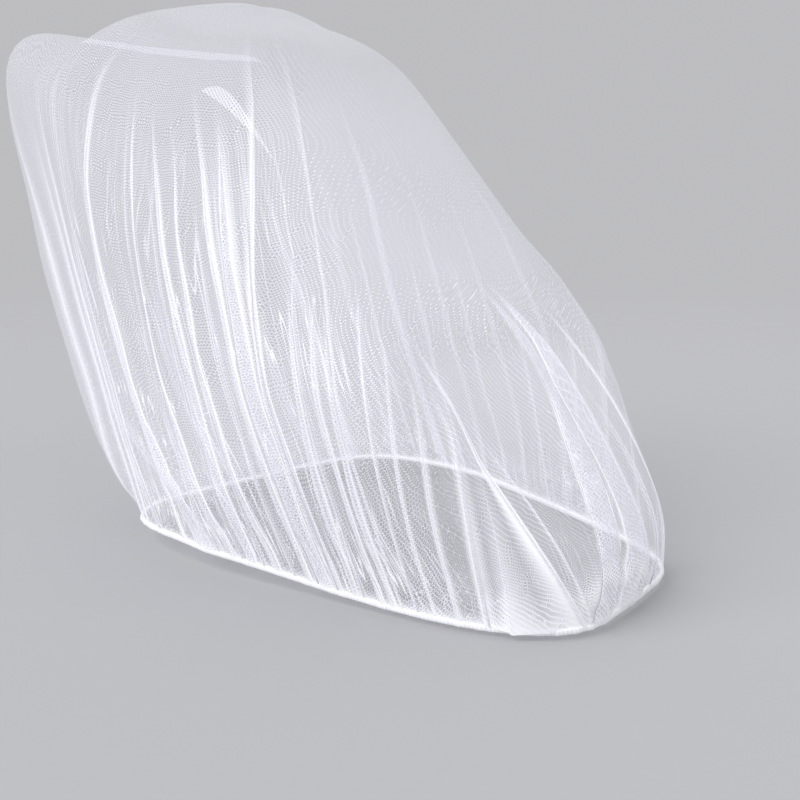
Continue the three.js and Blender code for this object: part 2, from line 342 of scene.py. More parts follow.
folds = {
    "rise": 0.14,  # share of the way down over which a fold comes up, and dies away at the hem
    "soft": (  # top, way and foot stations, start, out, half width, share left at the hem
        (-745, -790, -752, 0.30, 8, 13, 0.5), (-640, -775, -622, 0.22, 13, 22, 0.3),
        (-655, -700, -660, 0.30, 6, 11, 0.4), (-571, -640, -598, 0.26, 9, 12, 0.3),
        (-544, -543, -571, 0.29, 8, 12, 0.3), (-506, -514, -516, 0.28, 11, 14, 0.3),
        (-464, -455, -480, 0.28, 8, 12, 0.3), (-423, -445, -443, 0.27, 12, 14, 0.3),
        (-360, -420, -404, 0.22, 9, 13, 0.3), (-330, -364, -356, 0.50, 9, 13, 0.3),
        (-290, -330, -322, 0.55, 6, 12, 0.3), (-180, -215, -232, 0.70, 7, 24, 0.5),
        (-215, -160, -108, 0.66, 8, 26, 0.5), (-70, -20, -10, 0.50, 9, 30, 0.5),
        (20, 60, 110, 0.62, 8, 30, 0.5), (235, 300, 290, 0.45, 8, 30, 0.3),
        (380, 400, 390, 0.28, 10, 32, 0.3), (470, 500, 486, 0.26, 9, 30, 0.3),
        (560, 600, 585, 0.26, 11, 32, 0.3), (650, 730, 680, 0.24, 10, 30, 0.3),
        (760, 800, 775, 0.32, 9, 30, 0.4), (905, 890, 880, 0.42, 12, 36, 0.4),
        (1000, 985, 975, 0.44, 15, 38, 0.4), (-1070, -1060, -1066, 0.45, 12, 36, 0.4),
        (-975, -950, -960, 0.43, 14, 36, 0.4), (-890, -868, -862, 0.41, 9, 30, 0.4),
    ),
    # Pleats, where the net lies over itself: top, way and foot stations, start, width at the top, on
    # the way and at the hem, the side that it folds to, and how much denser its edges look
    "pleats": (
        (-1062, -1050, -1058, 0.40, 3, 10, 6, 1, 0.5),
        (-960, -940, -950, 0.40, 2, 8, 5, -1, 0.5),
        (-872, -846, -850, 0.30, 2, 5, 4, 1, 0.6),
        (-806, -822, -806, 0.30, 1.5, 3, 4, 1, 0.6),
        (-785, -806, -784, 0.26, 1.5, 3, 3, 1, 0.7),
        (-747, -786, -751, 0.20, 2, 5, 8, -1, 0.9),
        (-700, -752, -690, 0.30, 1.5, 3, 6, 1, 0.8),
        (-643, -768, -636, 0.16, 3, 20, 36, 1, 0.9),
        (-576, -690, -624, 0.18, 1.5, 2.5, 5, -1, 0.6),
        (-571, -652, -592, 0.18, 2, 8, 13, 1, 1.0),
        (-556, -590, -576, 0.24, 1.5, 3, 4, -1, 0.7),
        (-544, -543, -561, 0.20, 2, 13, 14, 1, 1.0),
        (-522, -528, -540, 0.34, 1.5, 3, 4, -1, 0.7),
        (-506, -514, -518, 0.22, 2, 7, 10, 1, 1.0),
        (-484, -486, -492, 0.30, 1.5, 3, 4, -1, 0.7),
        (-464, -450, -462, 0.18, 2, 8, 9, 1, 1.0),
        (-440, -440, -450, 0.24, 1.5, 3, 4, -1, 0.7),
        (-418, -446, -436, 0.20, 3, 17, 19, 1, 1.0),
        (-392, -424, -420, 0.30, 1.5, 4, 5, -1, 0.8),
        (-332, -440, -424, 0.12, 2, 6, 6, 1, 0.9),
        (-352, -392, -398, 0.50, 1.5, 6, 9, 1, 0.9),
        (-336, -382, -386, 0.42, 1.5, 3, 4, -1, 0.6),
        (-322, -364, -358, 0.52, 1.5, 5, 6, 1, 1.0),
        (-304, -352, -346, 0.56, 1.5, 5, 7, 1, 0.9),
        (-238, -356, -332, 0.10, 1.5, 2, 3, 1, 0.45),
        (-246, -322, -312, 0.52, 1.5, 2.5, 3, -1, 0.7),
        (-228, -300, -290, 0.60, 1.5, 2.5, 3, 1, 0.7),
        (-212, -262, -262, 0.66, 1.5, 2.5, 3, 1, 0.7),
        (-196, -212, -226, 0.72, 1.5, 3, 5, -1, 0.8),
        (-182, -188, -200, 0.80, 1.5, 2.5, 4, 1, 0.7),
        (-252, -215, -116, 0.64, 1.5, 3.5, 5, 1, 1.0),
        (-196, -150, -104, 0.78, 1.5, 2, 2.5, -1, 0.6),
        (-34, 60, -84, 0.52, 8, 34, 40, 1, 1.0),
        (14, 74, -10, 0.54, 4, 28, 66, -1, 1.0),
        (60, 104, 52, 0.70, 1.5, 3, 6, 1, 0.6),
        (118, 152, 128, 0.60, 2, 8, 6, -1, 0.9),
        (200, 226, 212, 0.66, 1.5, 2, 3, 1, 0.19),
        (250, 300, 290, 0.40, 1.5, 3, 5, -1, 0.28),
        (320, 352, 340, 0.52, 1.5, 2, 3, 1, 0.19),
        (372, 396, 384, 0.22, 1.5, 4, 6, -1, 0.28),
        (420, 440, 430, 0.50, 1.5, 2, 3, 1, 0.19),
        (462, 490, 478, 0.26, 1.5, 4, 6, -1, 0.28),
        (515, 540, 528, 0.42, 1.5, 2, 3, 1, 0.19),
        (556, 592, 580, 0.22, 1.5, 5, 7, -1, 0.28),
        (604, 650, 630, 0.40, 1.5, 2, 4, 1, 0.22),
        (648, 724, 676, 0.16, 2, 9, 18, -1, 0.33),
        (716, 764, 734, 0.34, 1.5, 3, 5, 1, 0.22),
        (766, 800, 782, 0.30, 1.5, 3, 5, -1, 0.22),
        (872, 852, 850, 0.32, 2, 5, 4, 1, 0.28),
        (950, 930, 936, 0.40, 2, 8, 6, -1, 0.28),
        (1030, 1010, 1014, 0.42, 2, 8, 5, 1, 0.28),
    ),
    "pleatSpace": 2.4,  # mm kept between two pleats
    "shutWidth": 1.2,  # mm across a pleat where it is still shut
    "spacedAt": 0.72,  # share of the way at which the columns between pleats are counted
    "layer": 1.1,  # mm between the layers of a wide pleat
    "thin": 0.35,  # and at most this much of its width
    "swell": 0.05,  # how far the upper layer of a pleat bulges, in its widths
    "edgeGlow": 1.0,  # mm from a pleat's edge over which the net is seen edge on
    "glowRise": 0.24,  # share of the way down over which a pleat's edges come to show
    "body": 0.20,  # how much denser a wide pleat's net lies
    "wide": (6, 12),  # mm from which a pleat is a wide one, and over how many mm
    "slip": 0.3,  # how far the courses slip within a pleat, in its widths
    "seed": 14,
    "wander": 1.4,  # mm that a pleat strays to each side of its line
    "wanderTurns": (2, 3),  # how often on its way, at least, and how much more at most
    "calmFrom": 0.93,  # share of the way from which the net lies in towards its edging
    "calm": 0.92,  # and how much
    "hemEdge": (0.99, 0.7),  # share from which the hem looks denser, and how much
}

# Layers of a pleat: where each starts and ends across it, in widths, how high it is there, in layers,
# its share of the bulge, and how far its courses have slipped at its start and end
pleatLayers = (
    (-0.5, 0.5, 0.0, 0.4, 0.0, 0, 1),
    (0.46, -0.46, 0.9, 1.4, 0.5, 1, 1),
    (-0.5, 0.5, 1.9, 1.2, 1.0, 1, 0),
)

# Steps across a layer, for pleats up to a width in mm
pleatSteps = ((10, 2), (25, 5), (1000, 9))

# Rows: how many down to each share of the way, closer together near the crown and at the hem
netRows = ((0.10, 7), (0.86, 58), (1.0, 24))

# Plain columns between pleats: up to a station, mm between them
netColumns = ((-800, 10), (-250, 2.7), (110, 3.2), (800, 6.5), (1080, 10))


def rowShares():
    # The share of each row: even steps within each stretch of the way down
    shares, start = [np.zeros(1)], 0
    for stop, count in netRows:
        shares.append(np.linspace(start, stop, count + 1)[1:])
        start = stop
    return np.concatenate(shares)


def foldLine(top, way, foot, start, share):
    # A curve through its top and foot stations, drawn towards its way station in between
    t = np.clip((share - start) / (1 - start), 0, 1)
    return top * (1 - t) ** 2 + 2 * way * t * (1 - t) + foot * t**2


def softFolds(station, share):
    # Bells across each fold line, which come up after its start and die away towards the hem
    height = np.zeros(np.broadcast(station, share).shape)
    rise = folds["rise"]
    for top, way, foot, start, out, half, left in folds["soft"]:
        off = station - foldLine(top, way, foot, start, share)
        off = off - hemLength * np.round(off / hemLength)
        comes = softStep((share - start) / rise)
        stays = 1 - (1 - left) * softStep((share - 1 + rise) / rise)
        height += out * comes * stays * np.exp(-((off / half) ** 2))
    return height


def pleatLines(share):
    # For each pleat, its station and its width at every row, kept in order and apart from its neighbours
    rows = np.array(folds["pleats"], float)
    top, way, foot, start, wTop, wWay, wFoot = (rows[:, k][:, None] for k in range(7))
    line = foldLine(top, way, foot, start, share[None, :])
    rng = np.random.default_rng(folds["seed"])
    fewest, more = folds["wanderTurns"]
    turns, phase = fewest + more * rng.random(top.shape), rng.random(top.shape)
    line += folds["wander"] * np.sin(2 * np.pi * (turns * share[None, :] + phase))
    t = np.clip((share[None, :] - start) / (1 - start), 0, 1)
    width = wTop * (1 - t) ** 2 + 2 * wWay * t * (1 - t) + wFoot * t**2
    opens = softStep((share[None, :] - start) / folds["rise"])
    width = folds["shutWidth"] + (width - folds["shutWidth"]) * opens
    room = (width[1:] + width[:-1]) / 2 + folds["pleatSpace"]
    least = np.concatenate([np.zeros((1, room.shape[1])), np.cumsum(room, 0)])
    ahead = np.maximum.accumulate(line - least, 0) + least
    behind = np.minimum.accumulate((line - least)[::-1], 0)[::-1] + least
    return (ahead + behind) / 2, width, opens


def pleatSection(widest):
    # Points across a pleat, closer together at its folds: place in widths, height in layers, bulge,
    # slip, and the place that each point has where the pleat is still shut
    steps = next(count for stop, count in pleatSteps if widest < stop)
    t = (1 - np.cos(np.pi * np.arange(steps + 1) / steps)) / 2
    over = np.concatenate([layer[0] + (layer[1] - layer[0]) * t for layer in pleatLayers])
    up = np.concatenate([layer[2] + (layer[3] - layer[2]) * t for layer in pleatLayers])
    bulge = np.concatenate([layer[4] * np.sin(np.pi * t) for layer in pleatLayers])
    slip = np.concatenate([layer[5] + (layer[6] - layer[5]) * t for layer in pleatLayers])
    return over, up, bulge, slip, np.linspace(-0.5, 0.5, len(over))


def netLayout(share):
    # Columns in order round the hem: the station, height, bright edge, density and slip of each column
    # at every row
    line, width, opens = pleatLines(share)
    pleats = np.array(folds["pleats"], float)
    stations, heights, edges, bodies, slips = [], [], [], [], []
    middle = np.argmin(np.abs(share - folds["spacedAt"]))
    wide, wideRun = folds["wide"]
    for k, row in enumerate(pleats):
        over, up, bulge, slip, shut = pleatSection(row[4:7].max())
        if row[7] < 0:
            over, up, bulge, slip = -over[::-1], up[::-1], bulge[::-1], slip[::-1]
        across = shut[:, None] + (over - shut)[:, None] * opens[k]
        layer = np.minimum(folds["layer"], folds["thin"] * width[k])
        swell = bulge[:, None] * folds["swell"] * width[k]
        fromEdge = (0.5 - np.abs(over))[:, None] * width[k] / folds["edgeGlow"]
        stations.append(line[k] + across * width[k])
        heights.append((up[:, None] * layer + swell) * opens[k])
        comes = softStep((share - row[3]) / folds["glowRise"])  # slower than the pleat opens
        edges.append(row[8] * comes * np.exp(-(fromEdge**2)))
        slips.append(folds["slip"] * slip[:, None] * width[k] * opens[k])
        body = folds["body"] * opens[k] * softStep((width[k] - wide) / wideRun)
        bodies.append(np.broadcast_to(body, heights[-1].shape))
        left = line[k] + width[k] / 2
        after = (k + 1) % len(pleats)
        right = line[after] - width[after] / 2 + (hemLength if after == 0 else 0)
        step = next(step for stop, step in netColumns if line[k][middle] < stop)
        count = max(int(round((right - left)[middle] / step)) - 1, 1)
        t = (np.arange(1, count + 1) / (count + 1))[:, None]
        stations.append(left + (right - left) * t)
        for values in (heights, edges, bodies, slips):
            values.append(np.zeros((count, len(share))))
    return [np.vstack(values) for values in (stations, heights, edges, bodies, slips)]


wrinkles = {
    "seed": 11,
    "waves": 26,
    "shortest": 13.0,
    "longest": 46.0,
    "height": 1.1,  # mm, on the drawn right side
    "bend": 26,  # mm that their lines wander, about
    "crest": 0.22,  # how much denser their crests look
    "gatherSeed": 12,
    "gatherFrom": 0.80,
    "gatherHeight": 1.5,
    "gatherWave": (9.5, 17.0),
    "gatherWaves": 14,
    "gatherBend": 10,
    "gatherCrest": 0.28,
    "gatherLeast": 0.35,  # how much of the gathers is left where the net isn't drawn
    "crestLeast": 0.3,
    "hemDrawn": (0.84, 0.12),  # share from which fine gathers show, and over how much of the way
}

# How much the net is drawn into folds: on each side, from a station and over how many mm, to a station
# and over how many mm, and the most; elsewhere; and from which share, over how much of the way
drawnParts = {
    "right": (-830, 90, -230, 110, 1),
    "left": (230, 110, 830, 90, 0.14),
    "elsewhere": 0.05,
    "down": (0.16, 0.4),
}


def drawn(station, share):
    # The most of what each side asks for, by soft steps round the hem, times a soft step down
    amount = drawnParts["elsewhere"]
    for side in ("right", "left"):
        start, startRun, stop, stopRun, most = drawnParts[side]
        within = softStep((station - start) / startRun) * softStep((stop - station) / stopRun)
        amount = np.maximum(amount, most * within)
    top, run = drawnParts["down"]
    return amount * softStep((share - top) / run)


def waveSum(station, share, count, shortest, longest, bend, rng):
    # Sines along the hem with random lengths and phases, whose lines wander a little on the way down
    total = np.zeros(station.shape)
    for _ in range(count):
        length = shortest * (longest / shortest) ** rng.random()
        length = hemLength / round(hemLength / length)
        phase, lean = rng.random() * 2 * np.pi, bend * rng.normal()
        curl = bend * 0.5 * rng.normal()
        moved = station + lean * share + curl * np.sin(2 * np.pi * (share + rng.random()))
        swell = 0.5 + 0.5 * np.sin(2 * np.pi * (share * (0.6 + rng.random()) + rng.random()))
        total += swell * np.sin(2 * np.pi * moved / length + phase)
    return total / math.sqrt(count)


def hemPuckers(station, share):
    # Short gathers that grow towards the hem
    rng = np.random.default_rng(wrinkles["gatherSeed"])
    short, long = wrinkles["gatherWave"]
    bend = wrinkles["gatherBend"]
    waves = waveSum(station, share, wrinkles["gatherWaves"], short, long, bend, rng)
    grows = softStep((share - wrinkles["gatherFrom"]) / (1 - wrinkles["gatherFrom"]))
    return waves * grows


# Crumpled places: station, half width, from which share, mm of height, and how densely the net lies
crumples = {
    "seed": 5,
    "waves": 7,
    "length": (26.0, 60.0),
    "places": (
        (-40, 180, 0.940, 3.6, 0.9), (-30, 70, 0.80, 1.2, 0.0), (-210, 150, 0.940, 1.8, 0.12),
    ),
    "drop": 900,  # mm from crown to hem, about
    "fade": 0.4,  # share of its half width over which a place ends at each side
    "ragged": 0.006,  # how far its upper edge strays, in shares of the way
    "ramp": 0.028,  # share of the way over which it comes in
    "uneven": (0.78, 0.35, 0.4),  # its density: mean, spread and least
    "fullRise": 2,  # mm of height from which its fine lines are full
    "stop": 0.984,  # share of the way from which the creases end towards the hem
}


def crumpled(station, down):
    # Random waves whose size is turned over, so that they meet in sharp ridges, within soft edged places
    # that start higher up in their middle, by the square of the way to their sides
    rng = np.random.default_rng(crumples["seed"])
    field = np.zeros(station.shape)
    short, long = crumples["length"]
    for _ in range(crumples["waves"]):
        turn, phase = rng.random() * np.pi, rng.random() * 2 * np.pi
        length = short + (long - short) * rng.random()
        along = station * math.cos(turn) + down * crumples["drop"] * math.sin(turn)
        field += np.sin(2 * np.pi * along / length + phase)
    field = 0.5 - np.abs(field) / math.sqrt(crumples["waves"])
    mean, spread, least = crumples["uneven"]
    uneven = np.clip(mean + spread * field, least, 1)
    height, body, crinkle = (np.zeros(station.shape) for _ in range(3))
    for place, half, start, rise, density in crumples["places"]:
        off = np.abs(station - place) / half
        side = softStep((1 - off) / crumples["fade"])
        domed = start + (1 - start) * np.minimum(off, 1) ** 2 + crumples["ragged"] * field
        within = side * softStep((down - domed) / crumples["ramp"])
        height = np.maximum(height, rise * within)
        body = np.maximum(body, density * within * uneven)
        crinkle = np.maximum(crinkle, within * min(rise / crumples["fullRise"], 1))
    lies = 1 - softStep((down - crumples["stop"]) / (1 - crumples["stop"]))
    return height * field * lies, body, crinkle


# Where the mesh is drawn more softly: the left side and the back, from a station and over how many mm,
# the slope at the front, down to a share, and the crown. Each ends with how softly, and low down the
# left side and the back keep some of it.
softParts = {
    "left": (150, 150),
    "back": (-690, 220),
    "low": (0.70, 0.25, 0.4),
    "slope": (-370, 170, 0.50, 0.22, 0.9),
    "crown": (0.13, 0.14, 0.75),
}


def softDrawn(station, share):
    # The most of what each part asks for, by soft steps round the hem and down
    left, leftRun = softParts["left"]
    back, backRun = softParts["back"]
    low, lowRun, kept = softParts["low"]
    away = softStep((station - left) / leftRun) + softStep((back - station) / backRun)
    away = away * (1 - (1 - kept) * softStep((share - low) / lowRun))
    front, frontRun, stop, stopRun, soft = softParts["slope"]
    slope = soft * softStep((station - front) / frontRun) * (1 - softStep((share - stop) / stopRun))
    top, topRun, soft = softParts["crown"]
    crown = soft * (1 - softStep((share - top) / topRun))
    return np.maximum(np.maximum(away, slope), crown)


# Where the net hangs loose over its edging: station, half width, from which share, mm out and down, mm
# that its lower edge waves, and how dense it looks
pouch = {
    "station": -184, "half": 38, "from": 0.960, "out": 6.5, "down": 5.0, "scallop": 1.6, "body": 0.8,
}

# Where the mesh is drawn finer, at the foot end: from a share and over how much of the way, between
# stations and over how many mm, and the density of the pleats inside which it isn't
fineParts = {"from": 0.60, "run": 0.22, "stations": (-300, 230), "fade": 110, "dense": 0.15}


def fineDrawn(station, share, pleatBody):
    # Soft steps down, round the hem and out of the wide pleats, multiplied
    right, left = fineParts["stations"]
    fade = fineParts["fade"]
    fine = softStep((share - fineParts["from"]) / fineParts["run"]) * softStep((station - right) / fade)
    return fine * softStep((left - station) / fade) * (1 - softStep(pleatBody / fineParts["dense"]))


def loosePart(station, share):
    # A flat topped bell round the hem, by the fourth power, times a soft step down
    bulge = np.exp(-(((station - pouch["station"]) / pouch["half"]) ** 4))
    return bulge * softStep((share - pouch["from"]) / (1 - pouch["from"]))


# The station that the mesh is counted from, how its courses climb round the front: how many mm a mm, to
# how far on each side, and over how many mm that comes in; and the share down to which the crown has its
# own round map, and over how much of the way that ends
clothWay = {"from": -560, "lean": 0.85, "half": 390, "soft": 150, "crown": (0.10, 0.08)}


def netSurface():
    # The taut skin at each column's station, moved outwards by folds, pleats, wrinkles, gathers, creases
    # and the loose part, with the values that its finish reads at each point
    share = rowShares()
    station, lift, edge, pleatBody, slip = netLayout(share)
    down = np.broadcast_to(share[None, :], station.shape)
    centred = station - hemLength * np.round(station / hemLength)
    place = sampled(base, station, down, hemLength)
    normal = sampled(baseOut, station, down, hemLength)
    normal /= np.linalg.norm(normal, axis=-1, keepdims=True)
    amount = drawn(centred, down)
    gathered = wrinkles["gatherLeast"] + (1 - wrinkles["gatherLeast"]) * amount
    rng = np.random.default_rng(wrinkles["seed"])
    short, long = wrinkles["shortest"], wrinkles["longest"]
    waves = waveSum(station, down, wrinkles["waves"], short, long, wrinkles["bend"], rng)
    puckers = hemPuckers(station, down)
    crease, crumpleBody, crinkle = crumpled(centred, down)
    low = loosePart(centred, down)
    height = softFolds(station, down)
    height += wrinkles["height"] * waves * amount
    height += wrinkles["gatherHeight"] * puckers * gathered
    height *= 1 - folds["calm"] * softStep((down - folds["calmFrom"]) / (1 - folds["calmFrom"]))
    place = place + normal * (height + crease + lift + pouch["out"] * low)[..., None]
    place[..., 2] -= low**2 * (pouch["down"] + pouch["scallop"] * puckers)
    place[:, 0] = place[:, 0].mean(0)
    crest = wrinkles["crest"] * amount * np.clip(waves, 0, 2) ** 2
    crest += wrinkles["gatherCrest"] * (wrinkles["crestLeast"] + amount) * np.clip(puckers, 0, 2) ** 2
    body = np.maximum(pleatBody, np.maximum(crumpleBody, pouch["body"] * low))
    hemFrom, hemEdge = folds["hemEdge"]
    drawnFrom, drawnRun = wrinkles["hemDrawn"]
    crown, crownRun = clothWay["crown"]
    values = {
        "edge": np.maximum(edge, hemEdge * softStep((down - hemFrom) / (1 - hemFrom))),
        "body": np.clip(body + crest, 0, 1),
        "crinkle": np.maximum(crinkle, low),
        "drawn": amount,
        "hazy": softDrawn(centred, down),
        "fine": fineDrawn(centred, down, pleatBody),
        "hemDrawn": gathered * softStep((down - drawnFrom) / drawnRun),
        "crownShare": 1 - softStep((down - crown) / crownRun),
    }
    return place, values, centred, down, slip


def clothMaps(place, station, slip):
    # Two flat maps of the cloth, in metres: length round each row and down each column, and round the
    # crown as a disc. The rows are counted from one station on the right side. The length down grows
    # by the climb, a share of the way round, and by the slip inside the pleats.
    closed = np.concatenate([place, place[:1]])
    step = np.linalg.norm(np.diff(closed, axis=1), axis=-1)
    length = np.concatenate([np.zeros((len(closed), 1)), np.cumsum(step, 1)], 1)
    gap = np.linalg.norm(np.diff(closed, axis=0), axis=-1)
    along = np.concatenate([np.zeros((1, closed.shape[1])), np.cumsum(gap, 0)])
    start = np.argmin(np.abs(station[:, -1] - clothWay["from"]))
    along -= along[start]
    leans = softStep((clothWay["half"] - np.abs(station)) / clothWay["soft"])
    climb = np.concatenate([np.zeros((1, closed.shape[1])), np.cumsum(gap * leans * clothWay["lean"], 0)])
    climb += np.concatenate([slip, slip[:1]])
    flat = closed - closed[0, 0]
    angle = np.arctan2(flat[..., 1], flat[..., 0])
    crown = np.stack([length * np.cos(angle), length * np.sin(angle)], -1)
    return np.stack([along, length + climb], -1) * mm, crown * mm


def addMesh(name, points, faces):
    # A smooth mesh from metres and corner numbers, at the origin
    mesh = bpy.data.meshes.new(name)
    mesh.from_pydata(points.reshape(-1, 3).tolist(), [], faces.tolist())
    mesh.polygons.foreach_set("use_smooth", np.ones(len(mesh.polygons), bool))
    mesh.update()
    obj = bpy.data.objects.new(name, mesh)
    bpy.context.scene.collection.objects.link(obj)
    return obj


def gridCorners(columns, rows):
    # Four corners for each cell, as column and row numbers, where the last column comes round again
    i, j = np.meshgrid(np.arange(columns), np.arange(rows - 1), indexing="ij")
    column = np.stack([i, i, i + 1, i + 1], -1).reshape(-1, 4)
    row = np.stack([j, j + 1, j + 1, j], -1).reshape(-1, 4)
    return column, row


def addUvMap(obj, name, pairs):
    # One pair of numbers for each corner of each face
    layer = obj.data.uv_layers.new(name=name)
    layer.data.foreach_set("uv", pairs.astype(np.float32).ravel())


def addPointValues(obj, name, values):
    # One number for each point
    attribute = obj.data.attributes.new(name, "FLOAT", "POINT")
    attribute.data.foreach_set("value", values.astype(np.float32).ravel())


# Where the fine gathers slide along the hem as they come down: station, half width, from and to which
# share, and mm towards the front
slides = ((-235, 200, 0.90, 1.0, 34), (-640, 180, 0.72, 1.0, 42), (-600, 230, 0.14, 0.46, -70))


def slid(station, share):
    # Each slide grows by a soft step down to the hem, and from its sides to its middle
    total = np.zeros(station.shape)
    for place, half, start, stop, reach in slides:
        side = softStep((half - np.abs(station - place)) / half)
        total += reach * side * softStep((share - start) / (stop - start))
    return total


netPlace, netValues, netStations, netDown, netSlip = netSurface()


def addNet():
    # The grid of places closed round the hem, with its flat maps, and a map of stations and shares
    columns, rows = netPlace.shape[:2]
    column, row = gridCorners(columns, rows)
    obj = addMesh("net", netPlace * mm, column % columns * rows + row)
    for name, values in zip(("clothRound", "clothCrown"), clothMaps(netPlace, netStations, netSlip)):
        addUvMap(obj, name, values[column, row])
    turns = netStations - slid(netStations, netDown)
    turns = np.concatenate([turns, turns[:1] + hemLength])
    shares = np.concatenate([netDown, netDown[:1]])
    addUvMap(obj, "drape", np.stack([turns * mm, shares], -1)[column, row])
    for name, values in netValues.items():
        addPointValues(obj, name, values)
    print("stage: net", columns, "columns", rows, "rows", 2 * len(obj.data.polygons), "triangles")
    return obj


net = addNet()


# Edging: the elastic tape along the hem

tape = {
    "width": 5.0,
    "height": 7.0,
    "gap": 0.3,
    "steps": 2200,
    "sides": 14,
    "ribs": 430,
    "ribDepth": 0.3,
    "squareness": 3.0,
    "seed": 13,
    "puckers": 0.6,
    "puckerWaves": (12, 14, 60),  # how many, and mm of the shortest and the longest
    # Shares of the puckers in the width and in the place, and of the ribs in the height
    "puckerWide": 0.4,
    "puckerOut": 0.5,
    "ribHigh": 0.3,
    "rim": 22,  # mm round the section
}


def addTape():
    # An upright superellipse carried round under the net's edge, with fine ribs by a sine along it, and
    # small puckers
    count = tape["steps"]
    station = np.arange(count) * hemLength / count
    foot = np.ones(count)
    line = sampled(base, station, foot, hemLength)
    side = sampled(baseOut, station, foot, hemLength) * (1, 1, 0)
    side /= np.linalg.norm(side, axis=1, keepdims=True)
    rng = np.random.default_rng(tape["seed"])
    pucker = waveSum(station, foot, *tape["puckerWaves"], 0, rng) * tape["puckers"]
    turn = np.arange(tape["sides"]) * 2 * np.pi / tape["sides"]
    rib = tape["ribDepth"] * np.sin(2 * np.pi * tape["ribs"] * station / hemLength)
    wide = tape["width"] / 2 + rib + tape["puckerWide"] * pucker
    wide = wide[:, None] * squared(np.cos(turn), tape["squareness"])[None, :]
    high = tape["height"] / 2 + tape["ribHigh"] * rib
    high = high[:, None] * squared(np.sin(turn), tape["squareness"])[None, :]
    out = wide + tape["puckerOut"] * pucker[:, None]
    points = line[:, None] + side[:, None] * out[..., None]
    points[..., 2] += high - tape["height"] / 2 - tape["gap"]
    around, beside = gridCorners(count, tape["sides"] + 1)
    obj = addMesh("edging", points * mm, around % count * tape["sides"] + beside % tape["sides"])
    pairs = np.stack([around * hemLength / count, beside * tape["rim"] / tape["sides"]], -1)
    addUvMap(obj, "tapeMap", pairs * mm)
    print("stage: edging", 2 * len(obj.data.polygons), "triangles")
    return obj


edging = addTape()


# Finishes

netFinish = {
    "course": 0.0039,  # metres between the courses of the mesh
    "wale": 0.0046,  # metres for one wave of a course
    "wave": 0.36,
    "fineSize": 0.76,  # how large the mesh is where it is drawn finer, against the rest
    # How far the courses stray, about, in metres, and the noise by which they do: its scale, detail and
    # roughness
    "waver": 0.017,
    "stray": (17, 2, 0.75),
    # Where a thread ends, as the sine that meshCells gives, and how that varies by a slow noise: its
    # scale, its detail, the least and the span
    "thread": 0.38,
    "denseThread": 1.15,
    "cloud": (7, 4, 0.75, 0.5),
    "threadAlpha": 0.97,
    "edgeAlpha": 0.96,
    "haze": 0.03,  # cover between the threads
    "threadBlur": 0.12,
    "denseBlur": 0.30,
    # Where the mesh is drawn more softly: how softly, and its even cover there, single and dense
    "hazeShare": 0.8,
    "meanAlpha": 0.25,
    "denseAlpha": 0.9,
    # The net's colour, and the whiter one it turns to where it lies dense and along pleat edges, gathers,
    # crinkles and crests. The whiter one is a painted highlight along the folds.
    "sheerColour": (0.86, 0.86, 0.94),
    "denseHighlightColour": (0.97, 0.97, 1.0),
    "roughness": 0.72,
    "specular": 0.25,
    "sheen": (0.15, 0.5),
    # Fine gathers: how many across and down a metre and the whole drop, how wide, how dense
    "longGathers": ((105, 2.4), 0.030, 0.75),
    "hemGathers": ((190, 7.0), 0.040, 0.95),
    "crinkles": ((70, 60), 0.022, 0.8),
    "gathersAt": (3.7, 1.3, 0),  # where in its noise they are read
    # A slack lens where the net lies double, high on the right: its first station and length, the share
    # and fall of its middle line, the power of the fall, half its width, how much denser it looks, and
    # how far its two meshes lie apart
    "lens": {
        "station": -0.447, "length": 0.108, "share": 0.215, "fall": 0.105, "curve": 2.4, "half": 0.0125,
        "body": 0.2, "shift": 0.0017,
    },
}


def newNode(tree, kind, **values):
    # A node of a kind, with its settings
    node = tree.nodes.new(kind)
    for key, value in values.items():
        setattr(node, key, value)
    return node


def calculated(tree, operation, a, b=None):
    # A Math node from numbers or sockets
    node = newNode(tree, "ShaderNodeMath", operation=operation)
    for slot, value in zip(node.inputs, (a, b)):
        if isinstance(value, bpy.types.NodeSocket):
            tree.links.new(value, slot)
        elif value is not None:
            slot.default_value = value
    return node.outputs[0]


def pointValue(tree, name):
    # What addPointValues gave each point
    return newNode(tree, "ShaderNodeAttribute", attribute_name=name).outputs["Fac"]


def mapped(tree, mapName):
    # A UV map as a whole, and its two numbers
    uv = newNode(tree, "ShaderNodeUVMap", uv_map=mapName)
    parts = newNode(tree, "ShaderNodeSeparateXYZ")
    tree.links.new(uv.outputs["UV"], parts.inputs[0])
    return uv.outputs["UV"], parts.outputs[0], parts.outputs[1]


def tinted(tree, share, first, second):
    # From the first colour to the second by a share; a Mix node keeps colours in sockets 6, 7 and 2
    tint = newNode(tree, "ShaderNodeMix", data_type="RGBA")
    tint.inputs[6].default_value = (*first, 1)
    tint.inputs[7].default_value = (*second, 1)
    tree.links.new(share, tint.inputs[0])
    return tint.outputs[2]


